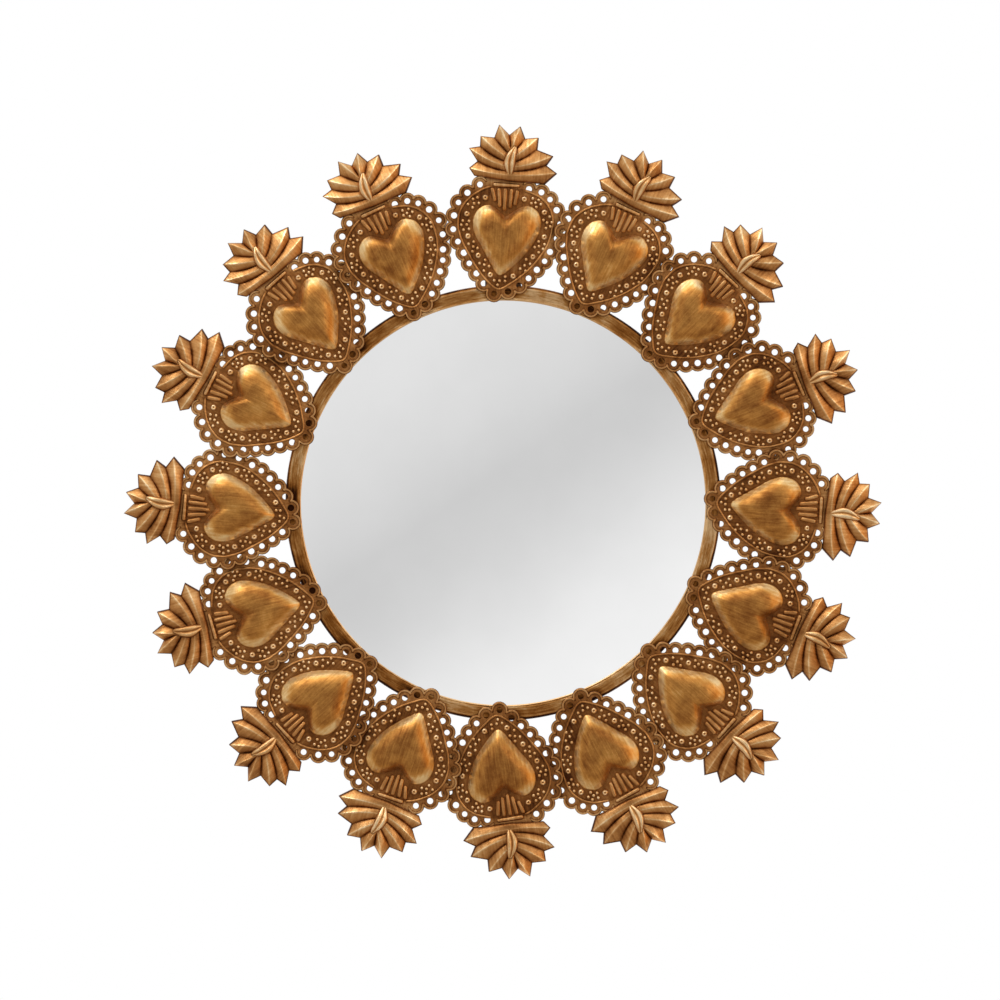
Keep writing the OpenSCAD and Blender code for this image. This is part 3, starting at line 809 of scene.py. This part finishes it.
class Network:
    """A tree of nodes, so that finishes and lights below read as short recipes."""

    def __init__(self, tree):
        self.tree = tree

    def node(self, kind, **settings):
        made = self.tree.nodes.new("ShaderNode" + kind)
        for key, value in settings.items():
            setattr(made, key, value)
        return made

    def feed(self, slot, value):
        """Puts a number or a colour in a slot, or links another node's output to it."""
        if isinstance(value, (int, float, tuple)):
            slot.default_value = value
        else:
            self.tree.links.new(value, slot)

    def fill(self, node, out, slots):
        """Feeds the named or numbered slots of a node and gives back one of its outputs."""
        for key, value in slots.items():
            self.feed(node.inputs[key], value)
        return node.outputs[out]

    def coords(self, kind="Object", scale=(1, 1, 1)):
        place = self.node("TexCoord").outputs[kind]
        return self.fill(self.node("Mapping"), "Vector", {"Scale": scale, "Vector": place})

    def noise(self, where, scale, detail=3, rough=0.55):
        return self.fill(self.node("TexNoise"), "Fac", {
            "Scale": scale, "Detail": detail, "Roughness": rough, "Vector": where})

    def math(self, kind, a, b=0.0, c=0.0):
        return self.fill(self.node("Math", operation=kind), 0, {0: a, 1: b, 2: c})

    def mix(self, share, first, second):
        return self.fill(self.node("Mix", data_type="RGBA"), 2, {0: share, 6: first, 7: second})

    def blend(self, share, first, second):
        return self.fill(self.node("Mix"), 0, {0: share, 2: first, 3: second})

    def range(self, value, low, high):
        return self.fill(self.node("MapRange"), "Result", {
            "To Min": low, "To Max": high, "Value": value})

    def step(self, value, low, high, kind="SMOOTHSTEP"):
        return self.fill(self.node("MapRange", interpolation_type=kind), "Result", {
            "From Min": low, "From Max": high, "Value": value})

    def ramp(self, value, stops, smooth=True):
        made = self.node("ValToRGB")
        made.color_ramp.interpolation = "EASE" if smooth else "LINEAR"
        elements = made.color_ramp.elements
        while len(elements) < len(stops):
            elements.new(0.5)
        for element, (place, colour) in zip(elements, stops):
            element.position, element.color = place, colour
        return self.fill(made, "Color", {"Fac": value})

    def directly_seen(self):
        """One for rays from the camera, off polished metal or through glass, else zero."""
        ray = self.node("LightPath").outputs
        return self.math("MAXIMUM", self.math("MAXIMUM", ray["Is Camera Ray"],
                                              ray["Is Glossy Ray"]), ray["Is Transmission Ray"])


class Finish(Network):
    """A material of one shader, fed by its network."""

    def __init__(self, name):
        self.material = bpy.data.materials.new(name)
        self.material.use_nodes = True
        super().__init__(self.material.node_tree)

    def bump(self, height, strength, distance, under=None):
        slots = {"Strength": strength, "Distance": distance, "Height": height}
        return self.fill(self.node("Bump"), "Normal",
                         slots if under is None else slots | {"Normal": under})

    def set(self, **inputs):
        for key, value in inputs.items():
            self.feed(self.tree.nodes["Principled BSDF"].inputs[key.replace("_", " ")], value)


print("one colour, as the shader takes it:", [round(c, 3) for c in tone(192, 136, 69)])

# %% [markdown]
# ## Antique gilt brass
# The castings are gilt brass that was darkened with a reddish-brown patina and rubbed back.
# The number for wear and painted light picks the colour, with noise to break its edge. Fine
# streaks along the badge are the brush marks of the last polish: they change the colour a
# little and tilt the surface.


# %% The finish of castings and ring
def gilt(name, streak_scale, streaks, blotch_scale, blotches, shades, gold_shades=None):
    f = Finish(name)
    wear_and_light = f.node("Attribute", attribute_name="wear_and_light").outputs["Fac"]
    place = f.coords()
    patina = f.noise(place, 14, 2, 0.5)
    blotch = f.noise(place, blotch_scale, 4, 0.6)
    grain = f.noise(place, 900, 3, 0.6)
    beaten = f.noise(place, 170, 2, 0.4)
    brushed = f.noise(f.coords("UV", streak_scale), 1.0, 4, 0.65)
    tint = f.math("ADD", wear_and_light, f.math("MULTIPLY_ADD", blotch, blotches, -blotches / 2))
    tint = f.math("ADD", tint, f.math("MULTIPLY_ADD", brushed, streaks, -streaks / 2))
    tint = f.math("ADD", tint, f.math("MULTIPLY_ADD", grain, 0.2, -0.1))
    tint = f.math("ADD", tint, f.math("MULTIPLY_ADD", patina, 0.45, -0.225))
    colour = f.ramp(tint, shades, False)
    if gold_shades:
        gold_here = f.node("Attribute", attribute_name="gold").outputs["Fac"]
        colour = f.mix(gold_here, colour, f.ramp(tint, gold_shades, False))
    f.set(Base_Color=colour, Metallic=1.0, Roughness=f.range(tint, 0.52, 0.3))
    soft = f.bump(beaten, 0.3, 0.0012)
    soft = f.bump(brushed, 0.25, 0.0004, soft)
    soft = f.bump(grain, 0.3, 0.0003, soft)
    f.set(Normal=soft)
    return f.material


heart_shades = [(0.0, tone(74, 38, 18)), (0.3, tone(134, 84, 39)), (0.6, tone(192, 136, 69)),
                (0.8, tone(219, 172, 106)), (1.0, tone(242, 212, 158))]
cast_shades = [(0.0, tone(70, 36, 18)), (0.3, tone(134, 85, 43)), (0.6, tone(187, 134, 80)),
               (0.8, tone(212, 169, 116)), (1.0, tone(240, 212, 170))]
ring_shades = [(0.1, tone(50, 24, 10)), (0.45, tone(132, 80, 32)), (0.72, tone(176, 124, 68)),
               (1.0, tone(222, 182, 132))]
cast_gilt = gilt("antique_gilt", (75, 5, 1), 0.6, 90, 0.75, cast_shades, heart_shades)
ring_gilt = gilt("spun_gilt", (9, 90, 1), 1.1, 40, 1.3, ring_shades)
for piece in castings:
    piece.data.materials.clear()
    piece.data.materials.append(cast_gilt)
ring.data.materials.clear()
ring.data.materials.append(ring_gilt)
print("gilt finishes on", len(castings) + 1, "pieces")

# %% [markdown]
# ## Glass, board and hardware
# The parts of the frame that stay get finishes too: silvered glass with the faintest haze,
# a fibre board, black packing rubber, zinc-plated steel and a brown lacquered tab.


# %% The finishes of the parts that stay
def dress(material, *nodes):
    for n in nodes:
        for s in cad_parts[n].material_slots:
            s.material = material


silver = Finish("silvered_glass")
haze = silver.noise(silver.coords(), 14, 3)
silver.set(Base_Color=silver.ramp(haze, [(0.3, tone(247, 247, 247)), (0.7, tone(251, 251, 251))]),
           Metallic=1.0, Roughness=silver.range(haze, 0.008, 0.02))
dress(silver.material, "mirror_glass")

fibre = Finish("fibre_board")
strands = fibre.noise(fibre.coords(scale=(1, 1, 6)), 160, 6, 0.7)
flecks = fibre.noise(fibre.coords(), 900, 2)
fibre.set(Base_Color=fibre.ramp(fibre.math("MULTIPLY_ADD", flecks, 0.4, strands),
                                [(0.5, tone(92, 62, 38)), (0.95, tone(142, 104, 68))]),
          Roughness=fibre.range(strands, 0.6, 0.85),
          Normal=fibre.bump(strands, 0.4, 0.0003))
dress(fibre.material, "backing_board")

rubber = Finish("packing_rubber")
pores = rubber.noise(rubber.coords(), 700, 4)
rubber.set(Base_Color=rubber.ramp(pores, [(0.3, tone(22, 22, 22)), (0.8, tone(48, 46, 44))]),
           Roughness=rubber.range(pores, 0.75, 0.95), Normal=rubber.bump(pores, 0.3, 0.0002))
dress(rubber.material, "edge_packers", "wall_pads")

zinc = Finish("zinc_steel")
spangle = zinc.noise(zinc.coords(), 500, 3)
zinc.set(Base_Color=zinc.ramp(spangle, [(0.3, tone(150, 150, 146)), (0.7, tone(196, 196, 192))]),
         Metallic=1.0, Roughness=zinc.range(spangle, 0.28, 0.48),
         Normal=zinc.bump(spangle, 0.15, 0.0001))
dress(zinc.material, "button_studs", "button_nuts", "turn_button_1", "turn_button_2",
      "turn_button_3", "turn_button_4")

lacquer = Finish("brown_lacquer")
peel = lacquer.noise(lacquer.coords(), 420, 3)
lacquer.set(Base_Color=lacquer.ramp(peel, [(0.3, tone(84, 54, 30)), (0.7, tone(118, 80, 44))]),
            Metallic=0.6, Roughness=lacquer.range(peel, 0.34, 0.5),
            Normal=lacquer.bump(peel, 0.2, 0.0002))
dress(lacquer.material, "hanging_tab")
print("finishes:", [m.name for m in bpy.data.materials if m.users])

# %% [markdown]
# ## The studio
# The room is white all round, and metal shows what stands round it. So the light is shaped
# with cards, as a photographer does: a bright one above, a warm one on the right, a neutral
# one on the left, a dull one below, and a grey one behind the camera for the glass to show.
# The camera doesn't see them.

# %% World and floor
world = bpy.data.worlds.new("white_room")
bpy.context.scene.world = world
world.use_nodes = True
# Surfaces get less light from the room than the eye sees in it.
room = Network(world.node_tree)
background = world.node_tree.nodes["Background"]
room.fill(background, 0, {"Color": (1, 1, 1, 1),
                          "Strength": room.range(room.directly_seen(), 0.55, 1.0)})

nothing_picked()
bpy.ops.mesh.primitive_grid_add(x_subdivisions=8, y_subdivisions=8, size=14,
                                location=(0, 0, -0.95))
floor = new_piece("floor")
pale = Finish("pale_floor")
pale.set(Base_Color=tone(236, 235, 233), Roughness=0.8, Emission_Color=(1, 1, 1, 1))
pale.set(Emission_Strength=pale.math("MULTIPLY", pale.directly_seen(), 0.6))
floor.data.materials.append(pale.material)
floor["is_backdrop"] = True
print("room and floor:", world.name, pale.material.name)


# %% Cards that shape the reflections
def card(name, place, facing, wide, tall, colour, strength):
    """A glowing card that the camera doesn't see; gives back its network and its glow."""
    nothing_picked()
    turn = (Vector(facing) - Vector(place)).to_track_quat("Z", "Y")
    bpy.ops.mesh.primitive_grid_add(x_subdivisions=2, y_subdivisions=2, size=1)
    made = new_piece(name)
    made.data.transform(Matrix.Diagonal((wide, tall, 1, 1)))
    made.location, made.rotation_mode, made.rotation_quaternion = place, "QUATERNION", turn
    material = bpy.data.materials.new(name)
    material.use_nodes = True
    network = Network(material.node_tree)
    network.tree.nodes.remove(network.tree.nodes["Principled BSDF"])
    glow = network.node("Emission")
    shine = network.fill(glow, 0, {"Color": colour, "Strength": strength})
    network.feed(network.tree.nodes["Material Output"].inputs["Surface"], shine)
    made.data.materials.append(material)
    made.visible_camera = False
    made.visible_shadow = False
    made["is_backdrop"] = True
    return network, glow


card("card_right", (2.2, -1.0, -0.2), (0, 0, 0), 1.6, 2.6, tone(255, 196, 118), 1.0)
card("card_below", (0, -0.9, -0.75), (0, -0.9, 0), 3.4, 2.0, tone(200, 190, 178), 1.05)
card("card_left", (-2.2, -0.9, -0.2), (0, 0, 0), 1.8, 2.4, tone(214, 208, 200), 1.15)
card("card_above", (-0.2, -0.35, 1.7), (0, -0.35, 0), 2.6, 1.0, tone(255, 250, 240), 2.0)

# %% [markdown]
# ## What the glass shows
# In the picture the glass shows two greys that meet on a soft diagonal and run to near white
# at the bottom. A big card behind the camera carries them in its middle, with the darker room
# round it, so that the hearts' crowns stay deep in tone.

# %% The card behind the camera
NEAR_FOLD, AT_TOP, AT_BOTTOM = 0.645, 0.798, 0.94
front, glow = card("card_front", (0, -3.7, 0), (0, 0, 0), 6.4, 5.2, (1, 1, 1, 1), 1.0)
split = front.node("SeparateXYZ")
front.feed(split.inputs[0], front.node("TexCoord").outputs["Object"])
# The card faces +Y, so its own x runs against the object's x.
right = front.math("MULTIPLY", split.outputs["X"], -1.0)
up = split.outputs["Y"]
slant = front.math("ADD", front.math("MULTIPLY", right, 0.896),
                   front.math("MULTIPLY", up, -1.306))
near = front.math("POWER", front.step(slant, -0.3, -0.04, "LINEAR"), 2.0)
top_side = front.blend(near, AT_TOP, NEAR_FOLD)
low_side = front.blend(front.step(slant, -0.02, 0.3), NEAR_FOLD, AT_BOTTOM)
greys = front.blend(front.step(slant, -0.035, -0.01), top_side, low_side)
off_middle = front.math("SQRT", front.math("ADD", front.math("MULTIPLY", right, right),
                                           front.math("MULTIPLY", up, up)))
surround = front.blend(front.step(off_middle, 0.9, 2.8), 0.3, 1.0)
front.feed(glow.inputs["Strength"],
           front.blend(front.step(off_middle, 0.42, 0.8), greys, surround))
print("nodes behind the card's greys:", len(front.tree.nodes))


# %% Lamps
def soft_lamp(name, place, size, power, colour=(1, 1, 1)):
    data = bpy.data.lights.new(name, "AREA")
    data.shape, data.size, data.energy, data.color = "DISK", size, power, colour
    lamp = bpy.data.objects.new(name, data)
    lamp.location = place
    lamp.rotation_euler = (-Vector(place)).to_track_quat("-Z", "Y").to_euler()
    bpy.context.scene.collection.objects.link(lamp)


soft_lamp("key_lamp", (-0.9, -1.3, 2.0), 1.2, 16)
soft_lamp("fill_lamp", (1.6, -1.8, 0.9), 0.9, 5, (1, 0.86, 0.7))
print("lamps:", [lamp.name for lamp in bpy.data.lights])

# %% [markdown]
# ## The camera
# The picture was taken straight from the front with a long lens, so the camera stands nine
# metres away on the mirror's axis. The frame is 666 mm wide at the glass.

# %% Camera
FRAME_WIDE, AWAY, FILM = 0.6662, 9.0, 36
aside, above = -0.0021, 0.0019
lens = bpy.data.cameras.new("camera")
lens.sensor_width = FILM
lens.lens = FILM * AWAY / FRAME_WIDE
lens.clip_start, lens.clip_end = 0.1, 100
camera = bpy.data.objects.new("camera", lens)
camera.location = (aside, -AWAY, above)
camera.rotation_euler = (UPRIGHT, 0, 0)
bpy.context.scene.collection.objects.link(camera)
bpy.context.scene.camera = camera
bpy.context.scene.view_settings.view_transform = "Standard"
print("lens in mm:", round(lens.lens, 1))

# %% Print the size
low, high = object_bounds()
print("size in mm:", [round(v * 1000, 1) for v in high - low])
